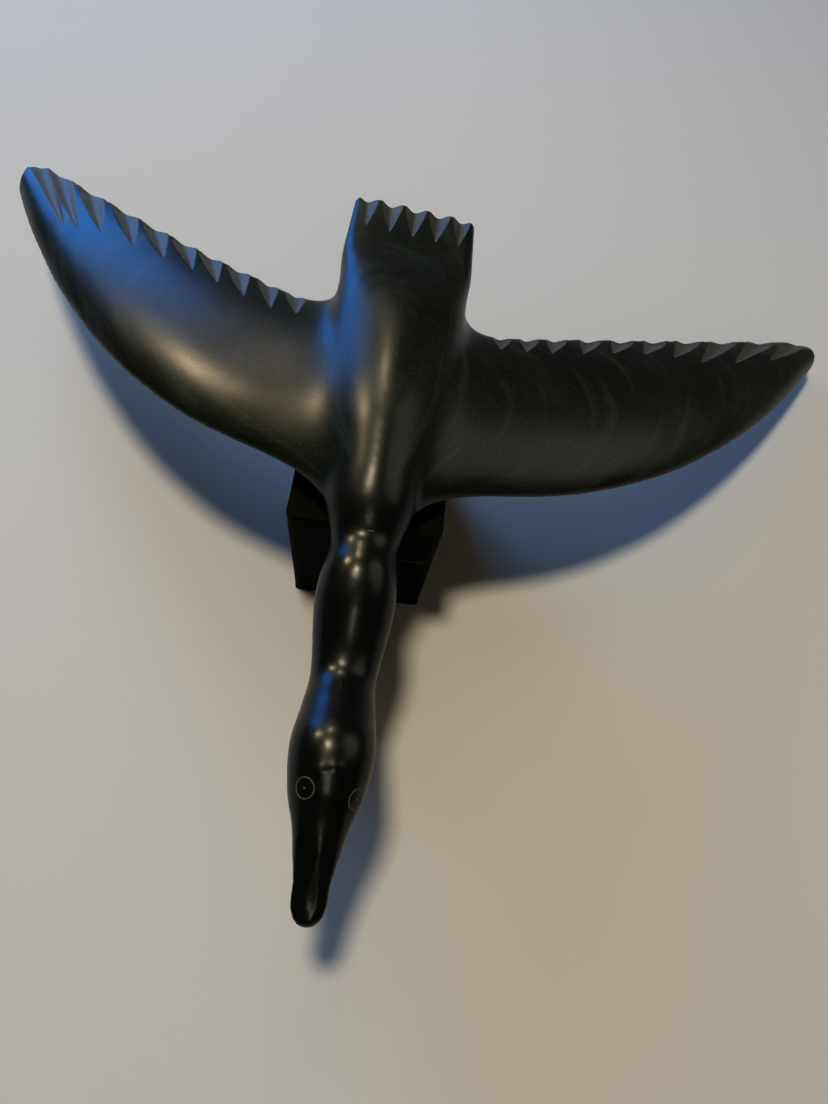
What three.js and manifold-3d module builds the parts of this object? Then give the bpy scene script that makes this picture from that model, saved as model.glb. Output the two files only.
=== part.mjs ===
// A soapstone carving of a water bird in flight, and the dark stone plinth that it rests on.
// Millimetres, +Z up, origin at the centre of the plinth's underside.
// The bird looks along -Y, so its right wing reaches to -X and its left wing to +X.
import * as THREE from "three";
import { mergeVertices } from "three/addons/utils/BufferGeometryUtils.js";
import Module from "manifold-3d";

// Plinth: a sawn block that widens a little from its foot to its top
const plinthHeight = 37;
const plinthFootWidth = 34.6;
const plinthFootDepth = 54;
const plinthFlareWidth = 1.9;
const plinthCornerRadius = 2.6;
const plinthEdgeRadius = 0.9;
const plinthFootBevel = 0.45;

// Seat: the rounded belly is ground flat where it rests on the plinth
const seatGap = 0.3;
const seatMargin = 0.6;
const spineOffset = 1;
const bellyGround = 1.2;
const bankAngle = 4.5;

// Bird, measured along its spine from the tail's edge to the tip of the bill
const birdLength = 194.5;
const tailOverhang = 51.5;
const bodyLift = 10.2;
const tailWidth = 36;
const tailThickness = 5.4;
const bodyWidth = 39;
const bodyRise = 12.2;
const bodyDepth = 11.4;
const waistWidth = 15.4;
const humpWidth = 18.1;
const throatWidth = 14.6;
const headWidth = 17.6;
const billRootWidth = 9.4;
const billWidth = 7.2;
const billDrop = 18.3;
const neckLean = 0.05;

// Wings, each a thin blade that sweeps back and droops towards its tip
const rightWingReach = 123.3;
const leftWingReach = 147.8;
const wingFront = -19.5;
const wingBack = 37.6;
const wingSweep = 106;
const rightWingSweepPower = 2.25;
const leftWingSweepPower = 2.14;
const rightWingTrail = 64.6;
const leftWingTrail = 60.9;
const rightWingTrailPower = 1.33;
const leftWingTrailPower = 1.23;
const wingLift = 6.4;
const wingDroop = 25;
const wingDroopPower = 1.7;
const wingRootThickness = 8.6;
const wingTipThickness = 3.6;
const wingThinningPower = 1.3;
const wingEdgeThickness = 2.4;
const wingCamber = 3.2;
const wingCamberLoss = 0.5;
const wingNoseShare = 0.35;
const wingNoseRoundness = 2.2;
const wingTaperPower = 1.9;
const wingTipRoundLength = 8;
const wingTipRoundDepth = 4.4;

// Where the wings flow into the neck, the tail and the shoulders
const neckFillet = 6.3;
const neckFilletReach = 14;
const tailFillet = 3;
const rightTailFilletReach = 3.4;
const leftTailFilletReach = 7;
const shoulderSwell = 3.4;
const shoulderSwellWidth = 6;
const shoulderSwellRoundness = 0.8;

// Gouged feather flutes along the back edges
const wingFluteRootWidth = 6;
const wingFluteTipWidth = 7.6;
const wingFluteDepth = 1.4;
const tailFlutes = 5;
const tailFluteWidth = 6.6;
const tailFluteLength = 16;
const tailFluteDepth = 2.1;
const tailFluteFan = 0.93;
const tailSlope = 0.06;

// Fineness of the facets
const ringPoints = 22;
const chordSteps = 12;
const wingSteps = 20;
const stepsPerStation = 2;
const cornerSteps = 4;
const edgeSteps = 3;
const fluteSides = 8;
const fluteSteps = 8;
const slopeStep = 1;

const stone = new THREE.MeshStandardMaterial({ color: 0x1f221f, roughness: 0.3, metalness: 0 });
const plinthStone = new THREE.MeshStandardMaterial({ color: 0x0d0e0d, roughness: 0.55, metalness: 0 });

const wasm = await Module();
wasm.setup();

// A closed geometry as a solid that can be joined and cut
function solidOf(geometry) {
  const bare = geometry.clone();
  bare.deleteAttribute("normal");
  bare.deleteAttribute("uv");
  const merged = mergeVertices(bare, 1e-4);
  return new wasm.Manifold(
    new wasm.Mesh({
      numProp: 3,
      vertProperties: merged.attributes.position.array,
      triVerts: new Uint32Array(merged.index.array),
    }),
  );
}

// A solid as a named mesh
function meshOf(solid, name, material) {
  const made = solid.getMesh();
  const geometry = new THREE.BufferGeometry();
  geometry.setAttribute("position", new THREE.BufferAttribute(made.vertProperties, made.numProp));
  geometry.setIndex(new THREE.BufferAttribute(made.triVerts, 1));
  const shaded = geometry.toNonIndexed();
  shaded.computeVertexNormals();
  const mesh = new THREE.Mesh(shaded, material);
  mesh.name = name;
  return mesh;
}

// A closed skin over a row of rings that have the same number of points
function loft(rings) {
  const count = rings[0].length;
  const positions = [];
  const faces = [];
  for (const ring of rings) {
    for (const point of ring) positions.push(point.x, point.y, point.z);
  }
  for (let r = 0; r + 1 < rings.length; r++) {
    for (let p = 0; p < count; p++) {
      const here = r * count + p;
      const beside = r * count + ((p + 1) % count);
      faces.push(here, beside, here + count);
      faces.push(beside, beside + count, here + count);
    }
  }
  const closeEnd = (ring, first, inward) => {
    const middle = ring.reduce((sum, point) => sum.add(point), new THREE.Vector3()).divideScalar(count);
    const centre = positions.length / 3;
    positions.push(middle.x, middle.y, middle.z);
    for (let p = 0; p < count; p++) {
      const here = first + p;
      const beside = first + ((p + 1) % count);
      faces.push(centre, inward ? beside : here, inward ? here : beside);
    }
  };
  closeEnd(rings[0], 0, true);
  closeEnd(rings[rings.length - 1], (rings.length - 1) * count, false);
  const geometry = new THREE.BufferGeometry();
  geometry.setAttribute("position", new THREE.Float32BufferAttribute(positions, 3));
  geometry.setIndex(faces);
  return geometry;
}

const seatHeight = plinthHeight + seatGap;
const tailEdge = plinthFootDepth / 2 + tailOverhang;

// The body is a row of stations down the spine. A station's place is a share of the bird's
// length from the tail's edge, and its drop is how far its middle hangs below the body's,
// as a share of the bill's drop. A roundness of 2 is an oval section, and more is squarer.
const station = (place, drop, width, rise, depth, roundness) => ({
  place,
  drop: drop * billDrop,
  halfWidth: width / 2,
  rise,
  depth,
  roundness,
});
const stations = [
  station(0, -0.016, tailWidth, tailThickness * 0.5, tailThickness * 0.5, 4.5),
  station(0.06, -0.016, tailWidth * 1.017, tailThickness * 0.62, tailThickness * 0.58, 4),
  station(0.126, -0.011, tailWidth * 1.028, bodyRise * 0.43, bodyDepth * 0.42, 3.2),
  station(0.187, 0, bodyWidth * 0.91, bodyRise * 0.66, bodyDepth * 0.64, 2.6),
  station(0.262, 0, bodyWidth * 0.98, bodyRise * 0.9, bodyDepth * 0.88, 2.2),
  station(0.353, 0, bodyWidth, bodyRise, bodyDepth, 2),
  station(0.439, 0, bodyWidth * 0.88, bodyRise * 0.95, bodyDepth, 1.9),
  station(0.51, 0.066, bodyWidth * 0.62, bodyRise * 0.81, bodyDepth * 0.79, 1.85),
  station(0.56, 0.186, waistWidth * 1.3, waistWidth * 0.54, waistWidth * 0.47, 1.9),
  station(0.595, 0.328, waistWidth, waistWidth * 0.47, waistWidth * 0.47, 2),
  station(0.653, 0.486, humpWidth, humpWidth * 0.46, humpWidth * 0.44, 2),
  station(0.742, 0.82, throatWidth, throatWidth * 0.46, throatWidth * 0.46, 2),
  station(0.788, 0.699, throatWidth * 1.082, throatWidth * 0.5, throatWidth * 0.5, 2),
  station(0.835, 0.568, headWidth, headWidth * 0.47, headWidth * 0.46, 2),
  station(0.883, 0.634, headWidth * 0.86, headWidth * 0.39, headWidth * 0.41, 2),
  station(0.911, 0.71, headWidth * 0.65, headWidth * 0.27, headWidth * 0.3, 2),
  station(0.935, 0.781, billRootWidth, billRootWidth * 0.39, billRootWidth * 0.43, 2.1),
  station(0.965, 0.874, billWidth, billWidth * 0.4, billWidth * 0.42, 2.4),
  station(0.988, 0.967, billWidth * 0.88, billWidth * 0.32, billWidth * 0.36, 2.6),
  station(1, 1, billWidth * 0.46, billWidth * 0.14, billWidth * 0.16, 2.4),
];

// A smooth station between two of them: cubic pieces with slopes taken from the neighbours
function stationAt(index, share) {
  const pick = (i) => stations[Math.min(Math.max(i, 0), stations.length - 1)];
  const [before, from, to, after] = [pick(index - 1), pick(index), pick(index + 1), pick(index + 2)];
  const span = to.place - from.place;
  const between = {};
  for (const key of Object.keys(from)) {
    const slopeFrom = ((to[key] - before[key]) / (to.place - before.place)) * span;
    const slopeTo = ((after[key] - from[key]) / (after.place - from.place)) * span;
    const turn = 2 * from[key] - 2 * to[key] + slopeFrom + slopeTo;
    const bend = 3 * (to[key] - from[key]) - 2 * slopeFrom - slopeTo;
    between[key] = ((turn * share + bend) * share + slopeFrom) * share + from[key];
  }
  return between;
}

const powered = (value, power) => Math.sign(value) * Math.abs(value) ** power;

// The neck and head stand a little to the left of the spine, by a share of their drop
function bodyRing({ place, drop, halfWidth, rise, depth, roundness }) {
  const ring = [];
  const middle = neckLean * Math.max(0, drop);
  const y = tailEdge - place * birdLength;
  for (let p = 0; p < ringPoints; p++) {
    const angle = (2 * Math.PI * p) / ringPoints;
    const side = powered(Math.cos(angle), 2 / roundness);
    const up = powered(Math.sin(angle), 2 / roundness);
    const height = up > 0 ? rise : depth;
    ring.push(new THREE.Vector3(middle + halfWidth * side, y, seatHeight + bodyLift - drop + height * up));
  }
  return ring;
}

function bodyGeometry() {
  const rings = [];
  for (let i = 0; i + 1 < stations.length; i++) {
    for (let step = 0; step < stepsPerStation; step++) {
      rings.push(bodyRing(stationAt(i, step / stepsPerStation)));
    }
  }
  rings.push(bodyRing(stations[stations.length - 1]));
  return loft(rings);
}

// A wing's flutes from the body to the tip: a flute's place and length are shares of the
// wing's reach, and its lean is how far it turns in towards the body, in degrees
const flute = (place, length, lean) => ({ place, length, lean });
const rightFlutes = [
  flute(0.232, 0.102, 8),
  flute(0.297, 0.122, 11),
  flute(0.373, 0.13, 16),
  flute(0.444, 0.132, 18),
  flute(0.516, 0.142, 21),
  flute(0.599, 0.164, 22),
  flute(0.686, 0.185, 22),
  flute(0.798, 0.232, 24),
  flute(0.911, 0.325, 27),
  flute(0.978, 0.36, 29),
];
const leftFlutes = [
  flute(0.199, 0.06, 4),
  flute(0.254, 0.063, 8),
  flute(0.312, 0.069, 13),
  flute(0.386, 0.073, 18),
  flute(0.461, 0.077, 24),
  flute(0.541, 0.086, 26),
  flute(0.628, 0.113, 29),
  flute(0.728, 0.164, 33),
  flute(0.843, 0.19, 36),
  flute(0.967, 0.203, 40),
];

const rightWing = {
  side: -1,
  reach: rightWingReach,
  sweepPower: rightWingSweepPower,
  trail: rightWingTrail,
  trailPower: rightWingTrailPower,
  filletReach: rightTailFilletReach,
  flutes: rightFlutes,
};
const leftWing = {
  side: 1,
  reach: leftWingReach,
  sweepPower: leftWingSweepPower,
  trail: leftWingTrail,
  trailPower: leftWingTrailPower,
  filletReach: leftTailFilletReach,
  flutes: leftFlutes,
};

// A wing's plan at a share of its reach
function frontEdge(wing, share) {
  const beside = Math.max(0, wing.reach * share - waistWidth / 2);
  const fillet = neckFilletReach * Math.exp(-beside / neckFillet);
  return wingFront + wingSweep * share ** wing.sweepPower - fillet;
}

function backEdge(wing, share) {
  const beside = Math.max(0, wing.reach * share - tailWidth / 2);
  const whole = wing.reach - tailWidth / 2 - tailFillet;
  const fillet = wing.filletReach * Math.exp(-beside / tailFillet);
  const trail = wing.trail * (Math.max(0, beside - tailFillet) / whole) ** wing.trailPower;
  const tip = Math.max(0, 1 - (wing.reach * (1 - share)) / wingTipRoundLength);
  return wingBack + trail + fillet - wingTipRoundDepth * (1 - Math.sqrt(1 - tip * tip));
}

// Heights of the two faces over the seat, at a share of the reach and of the chord from front
// to back
function wingFaces(wing, share, chord) {
  const thinning = 1 - share ** wingThinningPower;
  const thickness = wingTipThickness + (wingRootThickness - wingTipThickness) * thinning;
  const ahead = Math.max(0, 1 - chord / wingNoseShare);
  const behind = Math.max(0, (chord - wingNoseShare) / (1 - wingNoseShare));
  const nose = Math.sqrt(1 - ahead ** wingNoseRoundness);
  const taper = 1 - behind ** wingTaperPower;
  const half = nose * (wingEdgeThickness + (thickness - wingEdgeThickness) * taper) / 2;
  const arch = wingCamber * 4 * chord * (1 - chord) * (1 - wingCamberLoss * share);
  const middle = wingLift - wingDroop * share ** wingDroopPower + arch;
  const out = Math.max(0, wing.reach * share - bodyWidth / 3);
  const along = Math.sin(Math.PI * chord) ** shoulderSwellRoundness;
  const swell = shoulderSwell * Math.exp(-out / shoulderSwellWidth) * along;
  return { top: middle + half + swell, bottom: middle - half };
}

function wingRing(wing, share) {
  const front = frontEdge(wing, share);
  const back = Math.max(backEdge(wing, share), front + wingTipThickness);
  const ring = [];
  const place = (chord, face) => {
    const faces = wingFaces(wing, share, chord);
    const y = front + (back - front) * chord;
    ring.push(new THREE.Vector3(wing.side * wing.reach * share, y, seatHeight + faces[face]));
  };
  for (let i = 0; i <= chordSteps; i++) place((1 - Math.cos((Math.PI * i) / chordSteps)) / 2, "top");
  for (let i = chordSteps; i > 0; i--) place((1 - Math.cos((Math.PI * i) / chordSteps)) / 2, "bottom");
  return wing.side > 0 ? ring.reverse() : ring;
}

function wingGeometry(wing) {
  const rings = [];
  for (let i = 0; i <= wingSteps; i++) {
    rings.push(wingRing(wing, (1 - Math.cos((Math.PI * i) / wingSteps)) / 2));
  }
  return loft(rings);
}

// A point of a wing's upper face
function wingTop(wing, x, y) {
  const share = Math.min(Math.abs(x) / wing.reach, 1);
  const front = frontEdge(wing, share);
  const chord = Math.min(Math.max((y - front) / (backEdge(wing, share) - front), 0), 1);
  return new THREE.Vector3(x, y, seatHeight + wingFaces(wing, share, chord).top);
}

// One gouge cut between two points of an upper face, from inside the stone to its edge. It
// follows the face, is widest and deepest at the edge, and runs on past it.
function fluteSolid(face, [innerX, innerY], [outerX, outerY], width, depth) {
  const outer = face(outerX, outerY);
  const reach = new THREE.Vector3().subVectors(outer, face(innerX, innerY));
  const rings = [];
  for (let i = 0; i <= fluteSteps; i++) {
    const along = (2 * i + 1) / (fluteSteps + 1) - 1;
    const inside = Math.min(along, 0);
    const x = outerX + (outerX - innerX) * inside;
    const y = outerY + (outerY - innerY) * inside;
    const middle = face(x, y).addScaledVector(reach, along - inside);
    const across = face(x + slopeStep, y).sub(face(x - slopeStep, y));
    const upward = new THREE.Vector3().crossVectors(across, reach).normalize();
    const sideways = new THREE.Vector3().crossVectors(reach, upward).normalize();
    const size = 1 - along * along;
    const ring = [];
    for (let side = 0; side < fluteSides; side++) {
      const angle = (2 * Math.PI * side) / fluteSides;
      const point = middle.clone().addScaledVector(sideways, (Math.cos(angle) * size * width) / 2);
      ring.push(point.addScaledVector(upward, Math.sin(angle) * size * depth));
    }
    rings.push(ring);
  }
  return solidOf(loft(rings.reverse()));
}

function wingFluteSolids(wing) {
  return wing.flutes.map(({ place, length, lean }) => {
    const angle = THREE.MathUtils.degToRad(lean);
    const outer = [wing.side * wing.reach * place, backEdge(wing, place)];
    const inwards = wing.side * wing.reach * length * Math.sin(angle);
    const forwards = wing.reach * length * Math.cos(angle);
    const inner = [outer[0] - inwards, outer[1] - forwards];
    const width = wingFluteRootWidth + (wingFluteTipWidth - wingFluteRootWidth) * place;
    return fluteSolid((x, y) => wingTop(wing, x, y), inner, outer, width, wingFluteDepth);
  });
}

function tailFluteSolids() {
  const pitch = tailWidth / tailFlutes;
  const edgeHeight = seatHeight + bodyLift - stations[0].drop + tailThickness / 2;
  const face = (x, y) => new THREE.Vector3(x, y, edgeHeight + tailSlope * (tailEdge - y));
  const solids = [];
  for (let i = 0; i < tailFlutes; i++) {
    const x = (i - (tailFlutes - 1) / 2) * pitch;
    const inner = [x * tailFluteFan, tailEdge - tailFluteLength];
    solids.push(fluteSolid(face, inner, [x, tailEdge], tailFluteWidth, tailFluteDepth));
  }
  return solids;
}

// The plinth's outline at a height, a rectangle with rounded corners
function plinthRing(height, inset) {
  const grow = (plinthFlareWidth * height) / plinthHeight - inset;
  const halfWidth = plinthFootWidth / 2 + grow;
  const halfDepth = plinthFootDepth / 2 + grow;
  const corners = [
    [1, 1],
    [-1, 1],
    [-1, -1],
    [1, -1],
  ];
  const ring = [];
  corners.forEach(([right, back], corner) => {
    for (let i = 0; i <= cornerSteps; i++) {
      const angle = (Math.PI / 2) * (corner + i / cornerSteps);
      const x = right * (halfWidth - plinthCornerRadius) + plinthCornerRadius * Math.cos(angle);
      const y = back * (halfDepth - plinthCornerRadius) + plinthCornerRadius * Math.sin(angle);
      ring.push(new THREE.Vector3(x, y, height));
    }
  });
  return ring;
}

// The block is bevelled at its foot and rubbed round at its top
function plinthGeometry() {
  const rings = [plinthRing(0, plinthFootBevel), plinthRing(plinthFootBevel, 0)];
  for (let i = 0; i <= edgeSteps; i++) {
    const angle = (Math.PI / 2) * (i / edgeSteps);
    const height = plinthHeight - plinthEdgeRadius * (1 - Math.sin(angle));
    rings.push(plinthRing(height, plinthEdgeRadius * (1 - Math.cos(angle))));
  }
  return loft(rings);
}

// The bird is carved level, then banked about its spine, and its belly is ground flat
function birdSolid() {
  let carving = solidOf(bodyGeometry());
  carving = carving.add(solidOf(wingGeometry(rightWing)));
  carving = carving.add(solidOf(wingGeometry(leftWing)));
  const flutes = [...wingFluteSolids(rightWing), ...wingFluteSolids(leftWing), ...tailFluteSolids()];
  for (const flute of flutes) carving = carving.subtract(flute);
  const made = carving.getMesh();
  const geometry = new THREE.BufferGeometry();
  geometry.setAttribute("position", new THREE.BufferAttribute(made.vertProperties, made.numProp));
  geometry.setIndex(new THREE.BufferAttribute(made.triVerts, 1));
  const axisHeight = seatHeight + bodyLift;
  geometry.translate(0, 0, bodyDepth - bodyLift - bellyGround - axisHeight);
  geometry.rotateY(THREE.MathUtils.degToRad(bankAngle));
  geometry.translate(spineOffset, 0, axisHeight);
  const seatDepth = plinthHeight / 2;
  const seatGrowth = 2 * (plinthFlareWidth + seatMargin);
  const seat = new THREE.BoxGeometry(plinthFootWidth + seatGrowth, plinthFootDepth + seatGrowth, seatDepth);
  seat.translate(0, 0, seatHeight - seatDepth / 2);
  return solidOf(geometry).subtract(solidOf(seat));
}

const carving = new THREE.Group();
carving.add(meshOf(birdSolid(), "bird", stone));
carving.add(meshOf(solidOf(plinthGeometry()), "plinth", plinthStone));

export default carving;
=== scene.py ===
"""Looks of a soapstone carving of a water bird in flight on its dark stone plinth.

Lengths are in metres, +Z is up, and the bird looks along -Y. The bird and the plinth stand
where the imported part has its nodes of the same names.
"""

import math

import bmesh
import bpy
from mathutils import Matrix, Vector, noise


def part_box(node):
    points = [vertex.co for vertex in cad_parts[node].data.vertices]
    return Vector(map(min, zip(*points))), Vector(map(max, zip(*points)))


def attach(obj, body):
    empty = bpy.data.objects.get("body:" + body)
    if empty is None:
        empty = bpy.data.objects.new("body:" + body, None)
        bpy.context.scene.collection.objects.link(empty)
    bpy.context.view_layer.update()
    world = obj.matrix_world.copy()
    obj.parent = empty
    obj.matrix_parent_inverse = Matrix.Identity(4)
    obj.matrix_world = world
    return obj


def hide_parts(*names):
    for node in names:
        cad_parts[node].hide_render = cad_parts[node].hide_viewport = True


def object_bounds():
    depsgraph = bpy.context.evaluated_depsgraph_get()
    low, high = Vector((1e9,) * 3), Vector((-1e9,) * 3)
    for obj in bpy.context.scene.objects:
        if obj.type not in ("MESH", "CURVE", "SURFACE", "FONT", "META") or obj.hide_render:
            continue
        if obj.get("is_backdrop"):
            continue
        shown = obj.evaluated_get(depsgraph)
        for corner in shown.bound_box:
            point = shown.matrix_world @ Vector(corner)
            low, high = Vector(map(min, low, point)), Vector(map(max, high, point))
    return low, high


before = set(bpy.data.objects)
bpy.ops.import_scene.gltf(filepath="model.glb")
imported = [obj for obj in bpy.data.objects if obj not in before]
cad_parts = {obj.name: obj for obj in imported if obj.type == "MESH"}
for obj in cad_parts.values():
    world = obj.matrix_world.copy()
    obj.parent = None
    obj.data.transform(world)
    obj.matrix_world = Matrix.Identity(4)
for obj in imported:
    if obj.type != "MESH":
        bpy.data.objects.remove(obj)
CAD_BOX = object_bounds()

bl_info = {
    "name": "Soapstone Bird Carving",
    "version": (1, 0, 0),
    "blender": (4, 5, 0),
    "location": "View3D > Sidebar > Stone Bird",
    "description": "Carves a soapstone water bird in flight, saws its plinth and sets the stage",
    "category": "Add Mesh",
}

MM = 0.001
SIDEBAR_TAB = "Stone Bird"

# The plinth is measured from its node, and the bird's seat is the plinth's top
PLINTH_LOW, PLINTH_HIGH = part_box("plinth")
SEAT_HEIGHT = PLINTH_HIGH.z + 0.3 * MM
SEAT_MARGIN = 0.6 * MM
SEAT_CUT_DEPTH = PLINTH_HIGH.z / 2
BELLY_GROUND = 1.2 * MM
SPINE_OFFSET = 1 * MM
TAIL_OVERHANG = 51.5 * MM
PLINTH_FLARE = 1.9 * MM
PLINTH_FOOT_DEPTH = 54 * MM
TAIL_EDGE = PLINTH_FOOT_DEPTH / 2 + TAIL_OVERHANG

# How the blades of the wings bend, thin and round off
WING_FRONT = -19.5 * MM
WING_BACK = 37.6 * MM
WING_SWEEP = 106 * MM
WING_LIFT = 6.4 * MM
WING_DROOP_POWER = 1.7
WING_ROOT_THICKNESS = 8.6 * MM
WING_TIP_THICKNESS = 3.6 * MM
WING_EDGE_THICKNESS = 2.4 * MM
WING_THINNING_POWER = 1.3
WING_CAMBER = 3.2 * MM
WING_CAMBER_LOSS = 0.5
WING_NOSE_SHARE = 0.35
WING_NOSE_ROUNDNESS = 2.2
WING_TAPER_POWER = 1.9
WING_TIP_ROUND_LENGTH = 8 * MM
WING_TIP_ROUND_DEPTH = 4.4 * MM
NECK_FILLET = 6.3 * MM
NECK_FILLET_REACH = 14 * MM
TAIL_FILLET = 3 * MM
SHOULDER_SWELL = 3.4 * MM
SHOULDER_SWELL_WIDTH = 6 * MM
SHOULDER_SWELL_ROUNDNESS = 0.8

# The wings differ in how their edges sweep back, and in the fillet beside the tail
RIGHT_WING_PLAN = {
    "sweep_power": 2.25,
    "trail": 64.6 * MM,
    "trail_power": 1.33,
    "fillet_reach": 3.4 * MM,
}
LEFT_WING_PLAN = {
    "sweep_power": 2.14,
    "trail": 60.9 * MM,
    "trail_power": 1.23,
    "fillet_reach": 7 * MM,
}

# Sideways lean of the neck as a share of its drop
NECK_LEAN = 0.05

# Fineness of the meshes
RING_POINTS = 72
STEPS_PER_STATION = 5
CHORD_STEPS = 44
WING_STEPS = 90
FLUTE_STEPS = 28
GRAIN_OF_FORM = 0.75 * MM


def shade_of(hex_colour):
    """A linear colour with alpha from an sRGB hex string."""
    parts = [int(hex_colour[i : i + 2], 16) / 255 for i in (1, 3, 5)]
    linear = [c / 12.92 if c <= 0.04045 else ((c + 0.055) / 1.055) ** 2.4 for c in parts]
    return (*linear, 1.0)


def length_property(name, description, default):
    return bpy.props.FloatProperty(
        name=name, description=description, default=default, min=0, unit="LENGTH"
    )


def colour_property(name, description, hex_colour):
    return bpy.props.FloatVectorProperty(
        name=name,
        description=description,
        default=shade_of(hex_colour),
        size=4,
        min=0,
        max=1,
        subtype="COLOR",
    )


def power_property(name, description, default):
    return bpy.props.FloatProperty(
        name=name, description=description, default=default, min=0, unit="POWER"
    )


class BirdSizes(bpy.types.PropertyGroup):
    """The bird's own sizes, and how it sits on its plinth."""

    length: length_property("Length", "Along the spine, from tail to bill", 194.5 * MM)
    right_reach: length_property("Right Wing", "From the spine to the right tip", 123.3 * MM)
    left_reach: length_property("Left Wing", "From the spine to the left tip", 147.8 * MM)
    droop: length_property("Droop", "How far the wing tips hang below the roots", 25 * MM)
    body_width: length_property("Body Width", "The body at its widest", 39 * MM)
    body_rise: length_property("Body Rise", "The back over the middle of the body", 12.2 * MM)
    body_depth: length_property("Body Depth", "The belly under the middle of the body", 11.4 * MM)
    body_lift: length_property("Body Lift", "The middle of the body over the seat", 10.2 * MM)
    tail_width: length_property("Tail Width", "The tail along its gouged edge", 36 * MM)
    tail_thickness: length_property("Tail Thickness", "The tail at its edge", 5.4 * MM)
    waist_width: length_property("Waist", "Where the body runs into the neck", 15.4 * MM)
    hump_width: length_property("Neck", "The swelling of the neck", 18.1 * MM)
    throat_width: length_property("Throat", "The neck behind the head", 14.6 * MM)
    head_width: length_property("Head Width", "The head across the eyes", 17.6 * MM)
    bill_root_width: length_property("Bill Root", "The bill where it leaves the head", 9.4 * MM)
    bill_width: length_property("Bill Width", "The bill near its tip", 7.2 * MM)
    bill_drop: length_property("Bill Drop", "The bill's tip below the body's middle", 18.3 * MM)
    bank: bpy.props.FloatProperty(
        name="Bank",
        description="How far the bird leans over to its left",
        default=math.radians(4.5),
        subtype="ANGLE",
    )
    flute_depth: length_property("Flute Depth", "Depth of a wing's gouged flutes", 1.4 * MM)
    eye_diameter: length_property("Eye", "Across an engraved eye ring", 4.1 * MM)


class StoneFinish(bpy.types.PropertyGroup):
    """Colours of the two stones."""

    polished: colour_property("Polished", "Rubbed and waxed soapstone", "#0b100c")
    cloud: colour_property("Cloud", "Paler clouds in the polished stone", "#1c231c")
    bed: colour_property("Bed", "Thin pale beds in the stone", "#343b31")
    tooled: colour_property("Tooled", "Bare stone where a gouge has cut", "#4b504d")
    tooled_dark: colour_property("Tooled Dark", "Darker streaks in a gouge cut", "#262b28")
    scratch: colour_property("Scratch", "Stone dust in a scratch or chip", "#74766f")
    plinth: colour_property("Plinth", "Sawn and oiled plinth stone", "#030403")


class StageSettings(bpy.types.PropertyGroup):
    """Floor, lamps and camera."""

    floor: colour_property("Floor", "Pale floor", "#cbcbcb")
    key_power: power_property("Key Lamp", "Warm soft lamp overhead, which casts the shadows", 10.4)
    sheen_power: power_property("Sheen Lamp", "Warm lamp that only the polish shows", 6)
    front_power: power_property("Front Lamp", "Faint warm light from the front", 1)
    bill_power: power_property("Bill Lamp", "Small lamp that glints on the bill", 0.8)
    crown_power: power_property("Crown Lamp", "Small lamp that glints on the crown", 3.6)
    fill_power: power_property("Fill Lamp", "Faint light that only the polish shows", 3.4)
    ceiling_power: power_property("Ceiling", "Faint wide glow from above and behind", 3.3)
    window_power: power_property("Window", "Cool soft light from behind on the left", 21)
    sky_power: power_property("Sky", "The window as only the polish shows it", 4.3)
    lens: bpy.props.FloatProperty(
        name="Lens", description="Focal length of the camera", default=27.07, min=1, unit="CAMERA"
    )


def mesh_object(name, build):
    """A new object at the origin whose mesh is filled by build(bmesh)."""
    mesh = bpy.data.meshes.new(name)
    shape = bmesh.new()
    build(shape)
    bmesh.ops.recalc_face_normals(shape, faces=shape.faces)
    shape.to_mesh(mesh)
    shape.free()
    made = bpy.data.objects.new(name, mesh)
    bpy.context.collection.objects.link(made)
    return made


def add_skin(shape, rings):
    """Adds a closed skin over a row of rings that have the same number of points."""
    loops = [[shape.verts.new(point) for point in ring] for ring in rings]
    for near, far in zip(loops, loops[1:]):
        for i in range(len(near)):
            shape.faces.new((near[i - 1], near[i], far[i], far[i - 1]))
    shape.faces.new(loops[0])
    shape.faces.new(loops[-1])


def select_only(target):
    bpy.ops.object.select_all(action="DESELECT")
    target.select_set(True)
    bpy.context.view_layer.objects.active = target


def apply_modifier(target, kind, **settings):
    """Adds a modifier with its settings and applies it."""
    modifier = target.modifiers.new(kind.title(), kind)
    for setting, value in settings.items():
        setattr(modifier, setting, value)
    select_only(target)
    bpy.ops.object.modifier_apply(modifier=modifier.name)


def cut(target, cutter):
    """Cuts a closed shape out of another. The cut faces take the cutter's material."""
    apply_modifier(
        target,
        "BOOLEAN",
        operation="DIFFERENCE",
        solver="EXACT",
        object=cutter,
        material_mode="TRANSFER",
    )
    bpy.data.objects.remove(cutter)


def mix(start, end, share):
    return start + (end - start) * share


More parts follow.
